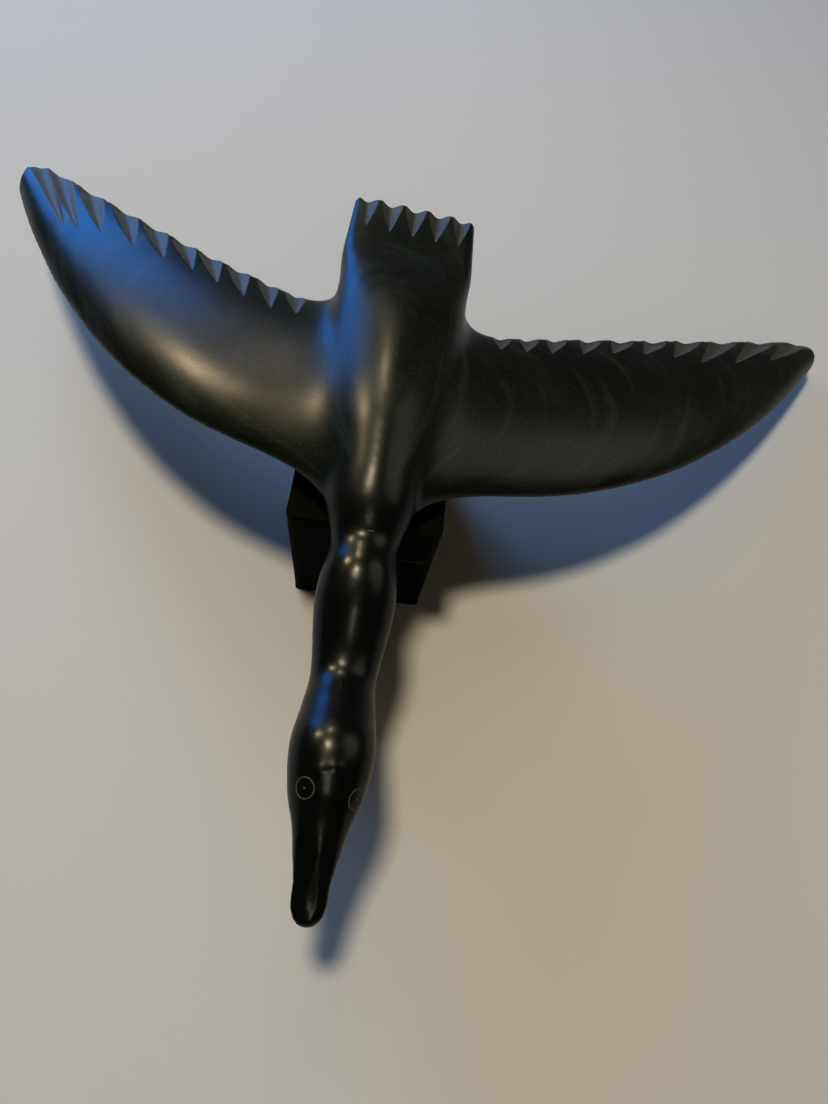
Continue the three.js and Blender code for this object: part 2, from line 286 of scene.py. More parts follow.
def body_stations(bird):
    """Stations down the spine: place as a share of the length from the tail's edge, drop of
    the middle, half width, rise, depth and roundness, where 2 is an oval section."""
    tail, thick = bird.tail_width, bird.tail_thickness
    body, rise, depth = bird.body_width, bird.body_rise, bird.body_depth
    waist, hump, throat = bird.waist_width, bird.hump_width, bird.throat_width
    head, root, bill = bird.head_width, bird.bill_root_width, bird.bill_width
    rows = (
        (0, -0.016, tail, thick * 0.5, thick * 0.5, 4.5),
        (0.06, -0.016, tail * 1.017, thick * 0.62, thick * 0.58, 4),
        (0.126, -0.011, tail * 1.028, rise * 0.43, depth * 0.42, 3.2),
        (0.187, 0, body * 0.91, rise * 0.66, depth * 0.64, 2.6),
        (0.262, 0, body * 0.92, rise * 0.9, depth * 0.88, 2),
        (0.353, 0, body * 0.88, rise, depth, 1.7),
        (0.439, 0, body * 0.76, rise * 0.95, depth, 1.65),
        (0.51, 0.066, body * 0.58, rise * 0.8, depth * 0.79, 1.7),
        (0.56, 0.186, waist * 1.28, waist * 0.58, waist * 0.47, 1.9),
        (0.578, 0.258, waist * 1.1, waist * 0.53, waist * 0.47, 2),
        (0.6, 0.342, waist, waist * 0.45, waist * 0.47, 2),
        (0.64, 0.45, hump * 0.98, hump * 0.5, hump * 0.44, 2),
        (0.672, 0.546, hump * 0.99, hump * 0.485, hump * 0.44, 2),
        (0.742, 0.82, throat, throat * 0.46, throat * 0.46, 2),
        (0.788, 0.699, throat * 1.082, throat * 0.5, throat * 0.5, 2),
        (0.835, 0.568, head, head * 0.47, head * 0.46, 2),
        (0.883, 0.634, head * 0.86, head * 0.39, head * 0.41, 2),
        (0.911, 0.71, head * 0.65, head * 0.27, head * 0.3, 2),
        (0.935, 0.781, root, root * 0.39, root * 0.43, 2.1),
        (0.962, 0.862, bill, bill * 0.4, bill * 0.42, 2.3),
        (0.98, 0.925, bill * 0.96, bill * 0.35, bill * 0.38, 2.3),
        (0.991, 0.968, bill * 0.78, bill * 0.27, bill * 0.3, 2.2),
        (0.997, 0.99, bill * 0.5, bill * 0.17, bill * 0.19, 2.1),
        (1, 1, bill * 0.2, bill * 0.07, bill * 0.08, 2),
    )
    return [
        (place, share * bird.bill_drop, width / 2, up, down, roundness)
        for place, share, width, up, down, roundness in rows
    ]


def station_between(stations, index, share):
    """A smooth station between two of them, with slopes taken from the neighbours."""
    last = len(stations) - 1
    picked = [stations[min(max(index + step, 0), last)] for step in (-1, 0, 1, 2)]
    before, start, end, after = picked
    span = end[0] - start[0]
    values = []
    for a, b, c, d in zip(before, start, end, after):
        slope_start = (c - a) / (end[0] - before[0]) * span
        slope_end = (d - b) / (after[0] - start[0]) * span
        turn = 2 * b - 2 * c + slope_start + slope_end
        bend = 3 * (c - b) - 2 * slope_start - slope_end
        values.append(((turn * share + bend) * share + slope_start) * share + b)
    return values


def powered(value, power):
    return math.copysign(abs(value) ** power, value)


def body_ring(bird, station):
    place, drop, half_width, rise, depth, roundness = station
    middle = NECK_LEAN * max(0, drop)
    along = TAIL_EDGE - place * bird.length
    ring = []
    for point in range(RING_POINTS):
        angle = 2 * math.pi * point / RING_POINTS
        side = powered(math.cos(angle), 2 / roundness)
        up = powered(math.sin(angle), 2 / roundness)
        height = (rise if up > 0 else depth) * up
        ring.append(
            (middle + half_width * side, along, SEAT_HEIGHT + bird.body_lift - drop + height)
        )
    return ring


class Wing:
    """The plan and section of one wing, before the bird is banked."""

    def __init__(self, bird, side, reach, sweep_power, trail, trail_power, fillet_reach):
        self.bird, self.side, self.reach = bird, side, reach
        self.sweep_power, self.trail = sweep_power, trail
        self.trail_power, self.fillet_reach = trail_power, fillet_reach

    def front(self, share):
        beside = max(0, self.reach * share - self.bird.waist_width / 2)
        fillet = NECK_FILLET_REACH * math.exp(-beside / NECK_FILLET)
        return WING_FRONT + WING_SWEEP * share**self.sweep_power - fillet

    def back(self, share):
        beside = max(0, self.reach * share - self.bird.tail_width / 2)
        whole = self.reach - self.bird.tail_width / 2 - TAIL_FILLET
        fillet = self.fillet_reach * math.exp(-beside / TAIL_FILLET)
        trail = self.trail * (max(0, beside - TAIL_FILLET) / whole) ** self.trail_power
        tip = max(0, 1 - self.reach * (1 - share) / WING_TIP_ROUND_LENGTH)
        rounding = WING_TIP_ROUND_DEPTH * (1 - math.sqrt(1 - tip * tip))
        return WING_BACK + trail + fillet - rounding

    def faces(self, share, chord):
        """Heights of the upper and lower face over the seat."""
        thinning = 1 - share**WING_THINNING_POWER
        thickness = mix(WING_TIP_THICKNESS, WING_ROOT_THICKNESS, thinning)
        ahead = max(0, 1 - chord / WING_NOSE_SHARE)
        behind = max(0, (chord - WING_NOSE_SHARE) / (1 - WING_NOSE_SHARE))
        nose = math.sqrt(max(0, 1 - ahead**WING_NOSE_ROUNDNESS))
        half = nose * mix(thickness, WING_EDGE_THICKNESS, behind**WING_TAPER_POWER) / 2
        arch = WING_CAMBER * 4 * chord * (1 - chord) * (1 - WING_CAMBER_LOSS * share)
        middle = WING_LIFT - self.bird.droop * share**WING_DROOP_POWER + arch
        out = max(0, self.reach * share - self.bird.body_width / 3)
        crest = max(0, math.sin(math.pi * chord)) ** SHOULDER_SWELL_ROUNDNESS
        swell = SHOULDER_SWELL * math.exp(-out / SHOULDER_SWELL_WIDTH) * crest
        return middle + half + swell, middle - half

    def ring(self, share):
        front = self.front(share)
        back = max(self.back(share), front + WING_TIP_THICKNESS)
        chords = [(1 - math.cos(math.pi * i / CHORD_STEPS)) / 2 for i in range(CHORD_STEPS + 1)]
        upper = [(chord, 0) for chord in chords]
        lower = [(chord, 1) for chord in reversed(chords[1:])]
        x = self.side * self.reach * share
        return [
            (x, mix(front, back, chord), SEAT_HEIGHT + self.faces(share, chord)[face])
            for chord, face in upper + lower
        ]

    def top(self, x, y):
        """A point of the upper face."""
        share = min(abs(x) / self.reach, 1)
        front = self.front(share)
        chord = min(max((y - front) / (self.back(share) - front), 0), 1)
        return Vector((x, y, SEAT_HEIGHT + self.faces(share, chord)[0]))


def wings_of(bird):
    return (
        Wing(bird, -1, bird.right_reach, **RIGHT_WING_PLAN),
        Wing(bird, 1, bird.left_reach, **LEFT_WING_PLAN),
    )


def lean_bird(bird, shape):
    """Turns the level carving over to its left and sets its belly into the seat."""
    axis = Vector((0, 0, SEAT_HEIGHT + bird.body_lift))
    sink = bird.body_depth - bird.body_lift - BELLY_GROUND
    turn = Matrix.Rotation(bird.bank, 4, "Y")
    place = Matrix.Translation(axis + Vector((SPINE_OFFSET, 0, 0)))
    whole = place @ turn @ Matrix.Translation(Vector((0, 0, sink)) - axis)
    shape.data.transform(whole)


# Flutes from the body to the tip: place and length as shares of the wing's reach, and lean
# in towards the body in degrees
RIGHT_FLUTES = (
    (0.232, 0.102, 8),
    (0.297, 0.122, 11),
    (0.373, 0.13, 16),
    (0.444, 0.132, 18),
    (0.516, 0.142, 21),
    (0.599, 0.164, 22),
    (0.686, 0.185, 22),
    (0.798, 0.232, 24),
    (0.911, 0.325, 27),
    (0.978, 0.36, 29),
)
LEFT_FLUTES = (
    (0.199, 0.06, 4),
    (0.254, 0.063, 8),
    (0.312, 0.069, 13),
    (0.386, 0.073, 18),
    (0.461, 0.077, 24),
    (0.541, 0.086, 26),
    (0.628, 0.113, 29),
    (0.728, 0.164, 33),
    (0.843, 0.19, 36),
    (0.967, 0.203, 40),
)
FLUTE_ROOT_WIDTH = 6 * MM
FLUTE_TIP_WIDTH = 7.6 * MM
TAIL_FLUTES = 5
TAIL_FLUTE_WIDTH = 6.6 * MM
TAIL_FLUTE_LENGTH = 16 * MM
TAIL_FLUTE_DEPTH = 2.1 * MM
TAIL_FLUTE_FAN = 0.93
TAIL_SLOPE = 0.06

# How blunt a cut's inner end is: 1 is a wedge, and 2 an oval
FLUTE_FULLNESS = 1.5

# The gouge's section, from the right rim round under the stone to the left rim, as shares of
# the cut's half width and depth. It is held askew, so its right wall is the wider one.
GOUGE_SECTION = (
    (1.0, 0.0),
    (0.74, -0.26),
    (0.44, -0.62),
    (0.14, -0.93),
    (-0.06, -1.0),
    (-0.28, -0.92),
    (-0.54, -0.62),
    (-0.8, -0.27),
    (-1.0, 0.0),
    (-1.05, 0.9),
    (0.0, 1.3),
    (1.05, 0.9),
)


def add_flute(shape, face, inner, outer, width, depth):
    """Adds one gouge cut between two points of an upper face, from inside the stone to its
    edge. It follows the face, is widest and deepest at the edge, and runs on past it."""
    edge = face(*outer)
    reach = edge - face(*inner)
    rings = []
    for i in range(FLUTE_STEPS + 1):
        along = (2 * i + 1) / (FLUTE_STEPS + 1) - 1
        inside = min(along, 0)
        x, y = (o + (o - n) * inside for o, n in zip(outer, inner))
        middle = face(x, y) + reach * (along - inside)
        across = face(x + MM, y) - face(x - MM, y)
        upward = across.cross(reach).normalized()
        sideways = reach.cross(upward).normalized()
        size = 1 - abs(along) ** FLUTE_FULLNESS
        ring = [
            middle + sideways * (side * size * width / 2) + upward * (up * size * depth)
            for side, up in GOUGE_SECTION
        ]
        rings.append(ring)
    add_skin(shape, rings)


def wing_flutes(bird, wing, rows):
    """What add_flute needs for each flute of a wing."""
    for place, length, lean in rows:
        angle = math.radians(lean)
        outer = (wing.side * wing.reach * place, wing.back(place))
        inwards = wing.side * wing.reach * length * math.sin(angle)
        forwards = wing.reach * length * math.cos(angle)
        inner = (outer[0] - inwards, outer[1] - forwards)
        width = mix(FLUTE_ROOT_WIDTH, FLUTE_TIP_WIDTH, place)
        yield wing.top, inner, outer, width, bird.flute_depth


def tail_flutes(bird):
    """What add_flute needs for each flute of the tail."""
    drop = body_stations(bird)[0][1]
    height = SEAT_HEIGHT + bird.body_lift - drop + bird.tail_thickness / 2

    def face(x, y):
        return Vector((x, y, height + TAIL_SLOPE * (TAIL_EDGE - y)))

    pitch = bird.tail_width / TAIL_FLUTES
    for i in range(TAIL_FLUTES):
        x = (i - (TAIL_FLUTES - 1) / 2) * pitch
        inner = (x * TAIL_FLUTE_FAN, TAIL_EDGE - TAIL_FLUTE_LENGTH)
        yield face, inner, (x, TAIL_EDGE), TAIL_FLUTE_WIDTH, TAIL_FLUTE_DEPTH


def new_material(name):
    """A material with an empty node tree."""
    material = bpy.data.materials.new(name)
    material.use_nodes = True
    material.node_tree.nodes.clear()
    return material


def add_node(tree, kind, settings=None, **inputs):
    """Adds a node. Settings are its own, and an input is a value or another node's socket."""
    node = tree.nodes.new(kind)
    for setting, value in (settings or {}).items():
        setattr(node, setting, value)
    for name, value in inputs.items():
        socket = node.inputs[int(name[1:]) if name[1:].isdigit() else name.replace("_", " ")]
        if isinstance(value, bpy.types.NodeSocket):
            tree.links.new(value, socket)
        else:
            socket.default_value = value
    return node


def stone_material(name, build, **surface):
    """A dielectric stone whose colour, roughness and bump come from build(tree, place)."""
    material = new_material(name)
    tree = material.node_tree
    place = add_node(tree, "ShaderNodeTexCoord").outputs["Object"]
    colour, roughness, normal = build(tree, place)
    shader = add_node(
        tree,
        "ShaderNodeBsdfPrincipled",
        Base_Color=colour,
        Roughness=roughness,
        Normal=normal,
        **surface,
    )
    add_node(tree, "ShaderNodeOutputMaterial", Surface=shader.outputs[0])
    return material


# Where the neck and the head have been handled, from the wings' front edge forwards
HANDLED_START = -18 * MM
HANDLED_FULLY = -46 * MM
HANDLED_ROUGHNESS = -0.05


def polished_soapstone(finish):
    """Soapstone rubbed smooth with fine grit, then oiled and waxed: a satin skin over dark
    olive stone, with thin level beds, paler clouds, light specks, hairline scratches and
    hazy worn patches. Handling has left the neck and head darker and brighter polished."""

    def build(tree, place):
        clouds = add_node(
            tree, "ShaderNodeTexNoise", Vector=place, Scale=1 / (24 * MM), Detail=6, Roughness=0.62
        ).outputs[0]
        layers = add_node(
            tree,
            "ShaderNodeMapping",
            Vector=place,
            Scale=(1 / (34 * MM), 1 / (34 * MM), 1 / (1.5 * MM)),
        ).outputs[0]
        beds = add_node(
            tree, "ShaderNodeTexNoise", Vector=layers, Scale=1, Detail=3, Distortion=0.35
        ).outputs[0]
        specks = add_node(
            tree, "ShaderNodeTexNoise", Vector=place, Scale=1 / (0.55 * MM), Detail=2
        ).outputs[0]
        drawn = add_node(
            tree,
            "ShaderNodeMapping",
            Vector=place,
            Rotation=(0, 0, math.radians(38)),
            Scale=(1 / (30 * MM), 1 / (1.6 * MM), 1 / (9 * MM)),
        ).outputs[0]
        lines = add_node(tree, "ShaderNodeTexNoise", Vector=drawn, Scale=1, Detail=4).outputs[0]
        off_line = add_node(tree, "ShaderNodeMath", {"operation": "SUBTRACT"}, _0=lines, _1=0.5)
        away = add_node(tree, "ShaderNodeMath", {"operation": "ABSOLUTE"}, _0=off_line.outputs[0])
        scratches = add_node(
            tree, "ShaderNodeMapRange", Value=away.outputs[0], From_Max=0.005, To_Min=0.1, To_Max=0
        ).outputs[0]
        bed_lines = add_node(
            tree, "ShaderNodeMapRange", Value=beds, From_Min=0.52, From_Max=0.68, To_Max=0.5
        ).outputs[0]
        speck_dots = add_node(
            tree, "ShaderNodeMapRange", Value=specks, From_Min=0.64, From_Max=0.74, To_Max=0.3
        ).outputs[0]
        along = add_node(tree, "ShaderNodeSeparateXYZ", Vector=place).outputs["Y"]
        handled = add_node(
            tree,
            "ShaderNodeMapRange",
            Value=along,
            From_Min=HANDLED_START,
            From_Max=HANDLED_FULLY,
        ).outputs[0]
        colour = finish.polished
        for factor, over in (
            (clouds, finish.cloud),
            (bed_lines, finish.bed),
            (speck_dots, finish.scratch),
            (scratches, finish.scratch),
        ):
            share = add_node(
                tree,
                "ShaderNodeMath",
                {"operation": "SUBTRACT", "use_clamp": True},
                _0=factor,
                _1=handled,
            ).outputs[0]
            colour = add_node(
                tree, "ShaderNodeMix", {"data_type": "RGBA"}, _0=share, _6=colour, _7=over
            ).outputs[2]
        haze = add_node(
            tree,
            "ShaderNodeMapRange",
            Value=clouds,
            From_Min=0.3,
            From_Max=0.7,
            To_Min=0.29,
            To_Max=0.37,
        ).outputs[0]
        scuffed = add_node(
            tree, "ShaderNodeMath", {"operation": "ADD"}, _0=haze, _1=scratches
        ).outputs[0]
        roughness = add_node(
            tree,
            "ShaderNodeMath",
            {"operation": "MULTIPLY_ADD"},
            _0=handled,
            _1=HANDLED_ROUGHNESS,
            _2=scuffed,
        ).outputs[0]
        relief = add_node(
            tree, "ShaderNodeMath", {"operation": "SUBTRACT"}, _0=specks, _1=scratches
        ).outputs[0]
        normal = add_node(
            tree, "ShaderNodeBump", Height=relief, Strength=0.15, Distance=0.02 * MM
        ).outputs[0]
        return colour, roughness, normal

    return stone_material("polished_soapstone", build, IOR=1.38)


def tooled_soapstone(finish):
    """Soapstone as a gouge leaves it: bare, matt and paler than the polished skin, with fine
    lines along the cut and faint chatter across it."""

    def build(tree, place):
        along = add_node(
            tree,
            "ShaderNodeMapping",
            Vector=place,
            Scale=(1 / (0.45 * MM), 1 / (5 * MM), 1 / (2 * MM)),
        ).outputs[0]
        lines = add_node(tree, "ShaderNodeTexNoise", Vector=along, Scale=1, Detail=4).outputs[0]
        across = add_node(
            tree,
            "ShaderNodeMapping",
            Vector=place,
            Scale=(1 / (7 * MM), 1 / (1.3 * MM), 1 / (6 * MM)),
        ).outputs[0]
        chatter = add_node(tree, "ShaderNodeTexNoise", Vector=across, Scale=1, Detail=2).outputs[0]
        marks = add_node(tree, "ShaderNodeMath", {"operation": "ADD"}, _0=lines, _1=chatter)
        dust = add_node(
            tree, "ShaderNodeMapRange", Value=marks.outputs[0], From_Min=0.75, From_Max=1.35
        ).outputs[0]
        colour = add_node(
            tree,
            "ShaderNodeMix",
            {"data_type": "RGBA"},
            _0=dust,
            _6=finish.tooled_dark,
            _7=finish.tooled,
        ).outputs[2]
        roughness = add_node(
            tree, "ShaderNodeMapRange", Value=dust, To_Min=0.48, To_Max=0.66
        ).outputs[0]
        normal = add_node(
            tree, "ShaderNodeBump", Height=marks.outputs[0], Strength=0.35, Distance=0.12 * MM
        ).outputs[0]
        return colour, roughness, normal

    return stone_material("tooled_soapstone", build, IOR=1.54)


def scratched_soapstone(finish):
    """Crushed stone left in a scratched line or a chip: pale, dry and powdery."""

    def build(tree, place):
        powder = add_node(
            tree, "ShaderNodeTexNoise", Vector=place, Scale=1 / (0.4 * MM), Detail=3
        ).outputs[0]
        colour = add_node(
            tree,
            "ShaderNodeMix",
            {"data_type": "RGBA"},
            _0=powder,
            _6=finish.cloud,
            _7=finish.scratch,
        ).outputs[2]
        roughness = add_node(
            tree, "ShaderNodeMapRange", Value=powder, To_Min=0.6, To_Max=0.8
        ).outputs[0]
        normal = add_node(
            tree, "ShaderNodeBump", Height=powder, Strength=0.3, Distance=0.05 * MM
        ).outputs[0]
        return colour, roughness, normal

    return stone_material("scratched_soapstone", build, IOR=1.54)


def sawn_stone(finish):
    """Near black stone, sawn, filed flat and oiled: matt satin with fine file lines."""

    def build(tree, place):
        filed = add_node(
            tree,
            "ShaderNodeMapping",
            Vector=place,
            Scale=(1 / (9 * MM), 1 / (9 * MM), 1 / (0.7 * MM)),
        ).outputs[0]
        lines = add_node(tree, "ShaderNodeTexNoise", Vector=filed, Scale=1, Detail=4).outputs[0]
        colour = add_node(
            tree,
            "ShaderNodeMix",
            {"data_type": "RGBA"},
            _0=lines,
            _6=finish.plinth,
            _7=finish.polished,
        ).outputs[2]
        roughness = add_node(
            tree, "ShaderNodeMapRange", Value=lines, To_Min=0.62, To_Max=0.75
        ).outputs[0]
        normal = add_node(
            tree, "ShaderNodeBump", Height=lines, Strength=0.25, Distance=0.06 * MM
        ).outputs[0]
        return colour, roughness, normal

    return stone_material("sawn_stone", build, IOR=1.5, Specular_IOR_Level=0.05)


# Where the shoulders are rubbed smooth into the wings
FLOW_REACH = 46 * MM
FLOW_BACK = 52 * MM
FLOW_FRONT = -44 * MM
FLOW_FADE = 12 * MM
FLOW_SIDE_RATE = 2.5
FLOW_PASSES = 30

# The soft hollow between the back and the wings, on faces that look up
HOLLOW_REACH = 34 * MM
HOLLOW_BACK = 50 * MM
HOLLOW_BACK_FADE = 12 * MM
HOLLOW_FRONT = -24 * MM
HOLLOW_FRONT_FADE = 8 * MM
HOLLOW_SIDE_RATE = 3
HOLLOW_UPWARD = 0.2
HOLLOW_UPWARD_RATE = 4
HOLLOW_PASSES = 50

# A light last rub all over
LAST_PASSES = 2
RUB_FACTOR = 0.5


def flow_weight(place, normal):
    """How far the shoulders are rubbed into the wings at a point, from 0 to 1."""
    reach = 1 - abs(place.x) / FLOW_REACH
    back = (FLOW_BACK - place.y) / FLOW_FADE
    front = (place.y - FLOW_FRONT) / FLOW_FADE
    return max(0, min(1, FLOW_SIDE_RATE * reach, back, front))


def hollow_weight(place, normal):
    """How far the back is rubbed down into the wings at a point, from 0 to 1."""
    reach = HOLLOW_SIDE_RATE * (1 - abs(place.x) / HOLLOW_REACH)
    back = (HOLLOW_BACK - place.y) / HOLLOW_BACK_FADE
    front = (place.y - HOLLOW_FRONT) / HOLLOW_FRONT_FADE
    upward = HOLLOW_UPWARD_RATE * (normal.z - HOLLOW_UPWARD)
    return max(0, min(1, reach, back, front, upward))


def rub(made, name, weight_of, passes):
    """Smooths a carving as far as weight_of(place, normal) says."""
    rubbed = made.vertex_groups.new(name=name)
    for vertex in made.data.vertices:
        weight = weight_of(vertex.co, vertex.normal)
        if weight > 0:
            rubbed.add([vertex.index], weight, "REPLACE")
    apply_modifier(made, "SMOOTH", factor=RUB_FACTOR, iterations=passes, vertex_group=name)


# Slow rise and fall that rubbing by hand leaves in a stone
UNEVEN_LENGTH = 17 * MM
UNEVEN_HEIGHT = 0.13 * MM

# Where the brows stand up over the eyes
BROWS = (Vector((-1.07, -90.4, 43.6)) * MM, Vector((2.03, -89.8, 43.9)) * MM)
BROW_REACH = 1.3 * MM
BROW_HEIGHT = 0.35 * MM

# The two filed faces of the bill meet in a crest along its top
BILL_CREST = Vector((1.2, -106.1, 35.4)) * MM
BILL_FACES = (Vector((-0.279, -0.433, 0.857)), Vector((0.384, -0.406, 0.803)))
BILL_START = -100 * MM
BILL_FADE = 5 * MM
HEAD_BACK = -80 * MM

# The eyes are a ring and a dot each, scratched into the polish. Each has a place and the way
# that the stone faces there.
EYES = (
    (Vector((-3.43, -93.5, 41.5)) * MM, Vector((-0.378, -0.492, 0.784))),
    (Vector((6.86, -93.75, 39.24)) * MM, Vector((0.697, -0.438, 0.568))),
)
EYE_LINE = 0.15 * MM
EYE_DOT = 0.28 * MM
EYE_STEPS = 40
NECK_CHIPS = (Vector((0.9, -34.6, 50)) * MM, Vector((2, -37.3, 48.6)) * MM)
CHIP_LENGTH = 1.3 * MM
CHIP_LINE = 0.22 * MM
LINE_SIDES = 8
BIRD_CRISP_ANGLE = math.radians(38)


def shape_by_hand(made, moved):
    """Moves each vertex by moved(place, normal)."""
    normals = [vertex.normal.copy() for vertex in made.data.vertices]
    for vertex, normal in zip(made.data.vertices, normals):
        vertex.co += moved(vertex.co, normal)
    made.data.update()


def hand_unevenness(place, normal):
    return normal * (UNEVEN_HEIGHT * noise.noise(place / UNEVEN_LENGTH))


def head_details(place, normal):
    """Raises the brows and files the two faces of the bill."""
    move = Vector()
    if place.y > HEAD_BACK:
        return move
    for brow in BROWS:
        near = (place - brow).length / BROW_REACH
        move += normal * (BROW_HEIGHT * math.exp(-near * near))
    share = max(0, min(1, (BILL_START - place.y) / BILL_FADE))
    for face in BILL_FACES:
        proud = (place - BILL_CREST).dot(face)
        move -= face * (max(0, proud) * share)
    return move


def circle_round(first, second, count):
    """Unit steps round a circle in the plane of two directions."""
    for i in range(count):
        turn = 2 * math.pi * i / count
        yield first * math.cos(turn) + second * math.sin(turn)


def add_line(shape, made, path, radius, closed=False):
    """Adds a thin tube that follows a path laid onto the carving's skin."""
    laid = [made.closest_point_on_mesh(point)[1:3] for point in path]
    rings = []
    for i, (place, normal) in enumerate(laid):
        ahead = laid[(i + 1) % len(laid)][0] if closed or i + 1 < len(laid) else place
        behind = laid[i - 1][0] if closed or i > 0 else place
        along = (ahead - behind).normalized()
        across = along.cross(normal).normalized()
        spokes = circle_round(across, normal, LINE_SIDES)
        rings.append([shape.verts.new(place + spoke * radius) for spoke in spokes])
    pairs = list(zip(rings, rings[1:] + rings[:1] if closed else rings[1:]))
    for near, far in pairs:
        for i in range(LINE_SIDES):
            shape.faces.new((near[i - 1], near[i], far[i], far[i - 1]))
    if not closed:
        shape.faces.new(rings[0])
        shape.faces.new(rings[-1])


def add_scratches(shape, made, bird):
    """Adds the cutters of the eyes and of the neck's two chips."""
    for middle, outward in EYES:
        across = outward.cross(Vector((0, 0, 1))).normalized()
        up = across.cross(outward)
        half = bird.eye_diameter / 2
        ring = [middle + spoke * half for spoke in circle_round(across, up, EYE_STEPS)]
        add_line(shape, made, ring, EYE_LINE, closed=True)
        dot = Matrix.Translation(made.closest_point_on_mesh(middle)[1])
        bmesh.ops.create_icosphere(shape, subdivisions=2, radius=EYE_DOT, matrix=dot)
    for chip in NECK_CHIPS:
        half = Vector((CHIP_LENGTH / 2, 0, 0))
        add_line(shape, made, (chip - half, chip, chip + half), CHIP_LINE)


def carve_bird(bird, finish):
    """Joins body and wings, rubs them smooth, gouges the flutes, cuts the seat and engraves
    the head."""
    stations = body_stations(bird)
    rings = [
        body_ring(bird, station_between(stations, i, step / STEPS_PER_STATION))
        for i in range(len(stations) - 1)
        for step in range(STEPS_PER_STATION)
    ]
    rings.append(body_ring(bird, stations[-1]))
    wings = wings_of(bird)

    def rough_out(shape):
        add_skin(shape, rings)
        for wing in wings:
            shares = ((1 - math.cos(math.pi * i / WING_STEPS)) / 2 for i in range(WING_STEPS + 1))
            add_skin(shape, [wing.ring(share) for share in shares])

    made = mesh_object("bird_carving", rough_out)
    apply_modifier(made, "REMESH", mode="VOXEL", voxel_size=GRAIN_OF_FORM, use_smooth_shade=True)
    rub(made, "flow", flow_weight, FLOW_PASSES)
    rub(made, "hollow", hollow_weight, HOLLOW_PASSES)
    apply_modifier(made, "SMOOTH", factor=RUB_FACTOR, iterations=LAST_PASSES)
    shape_by_hand(made, hand_unevenness)

    tooled = tooled_soapstone(finish)
    made.data.materials.append(polished_soapstone(finish))
    flutes = list(tail_flutes(bird))
    for wing, rows in zip(wings, (RIGHT_FLUTES, LEFT_FLUTES)):
        flutes.extend(wing_flutes(bird, wing, rows))
    # Neighbouring flutes overlap, so every other one is cut first
    for start in (0, 1):

        def gouge(shape):
            for flute in flutes[start::2]:
                add_flute(shape, *flute)

        gouges = mesh_object("gouges", gouge)
        gouges.data.materials.append(tooled)
        cut(made, gouges)

    lean_bird(bird, made)
    seat_width = PLINTH_HIGH.x - PLINTH_LOW.x + 2 * SEAT_MARGIN
    seat_depth = PLINTH_HIGH.y - PLINTH_LOW.y + 2 * SEAT_MARGIN
    bpy.ops.object.select_all(action="DESELECT")
    bpy.ops.mesh.primitive_cube_add(size=1)
    seat = bpy.context.active_object
    lift = Matrix.Translation((0, 0, SEAT_HEIGHT - SEAT_CUT_DEPTH / 2))
    seat.data.transform(lift @ Matrix.Diagonal((seat_width, seat_depth, SEAT_CUT_DEPTH, 1)))
    seat.data.materials.append(tooled)
    cut(made, seat)

    shape_by_hand(made, head_details)
    scratches = mesh_object("scratches", lambda shape: add_scratches(shape, made, bird))
    scratches.data.materials.append(scratched_soapstone(finish))
    cut(made, scratches)

    select_only(made)
    bpy.ops.object.shade_smooth_by_angle(angle=BIRD_CRISP_ANGLE)
    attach(made, "root")
    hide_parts("bird")


# The plinth's rounded edges, as a corner radius and shares of it, and its uneven faces
PLINTH_CORNER = 2.6 * MM
PLINTH_TOP_SHARE = 0.35
PLINTH_FOOT_SHARE = 0.17
PLINTH_BEVEL_STEPS = 5
PLINTH_DIVISIONS = 4
PLINTH_WAVE_LENGTH = 14 * MM
PLINTH_WAVE_HEIGHT = 0.18 * MM
PLINTH_SCRATCH = (Vector((10, -28.2, 23.6)) * MM, Vector((15.6, -28.2, 23.9)) * MM)
PLINTH_SCRATCH_LINE = 0.16 * MM
PLINTH_CRISP_ANGLE = math.radians(40)


def sawn_unevenness(place, normal):
    """Sinks a face here and there, so that the block never grows."""
    return -normal * (PLINTH_WAVE_HEIGHT * abs(noise.noise(place / PLINTH_WAVE_LENGTH)))


def saw_plinth(finish):
    """A sawn block that widens a little upwards, its corners rubbed round and its faces a
    little uneven."""
    bpy.ops.object.select_all(action="DESELECT")
    bpy.ops.mesh.primitive_cube_add(size=1)
    made = bpy.context.active_object
    made.name = "plinth_block"
    high, low = PLINTH_HIGH, PLINTH_LOW
    for vertex in made.data.vertices:
        at_foot = vertex.co.z < 0
        inset = PLINTH_FLARE if at_foot else 0
        vertex.co = (
            math.copysign(high.x - inset, vertex.co.x),
            math.copysign(high.y - inset, vertex.co.y),
            low.z if at_foot else high.z,
        )
    shares = made.data.attributes.new("bevel_weight_edge", "FLOAT", "EDGE")
    for edge in made.data.edges:
        heights = {made.data.vertices[i].co.z for i in edge.vertices}
        level = PLINTH_FOOT_SHARE if max(heights) == low.z else PLINTH_TOP_SHARE
        shares.data[edge.index].value = 1 if len(heights) > 1 else level
    apply_modifier(
        made, "BEVEL", width=PLINTH_CORNER, segments=PLINTH_BEVEL_STEPS, limit_method="WEIGHT"
    )
    apply_modifier(made, "SUBSURF", subdivision_type="SIMPLE", levels=PLINTH_DIVISIONS)
    shape_by_hand(made, sawn_unevenness)
    for vertex in made.data.vertices:
        vertex.co.z = max(vertex.co.z, low.z)
    made.data.materials.append(sawn_stone(finish))

    def scratch(shape):
        add_line(shape, made, PLINTH_SCRATCH, PLINTH_SCRATCH_LINE)

    scratches = mesh_object("plinth_scratch", scratch)
    scratches.data.materials.append(scratched_soapstone(finish))
    cut(made, scratches)
    select_only(made)
    bpy.ops.object.shade_smooth_by_angle(angle=PLINTH_CRISP_ANGLE)
    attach(made, "root")
    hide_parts("plinth")


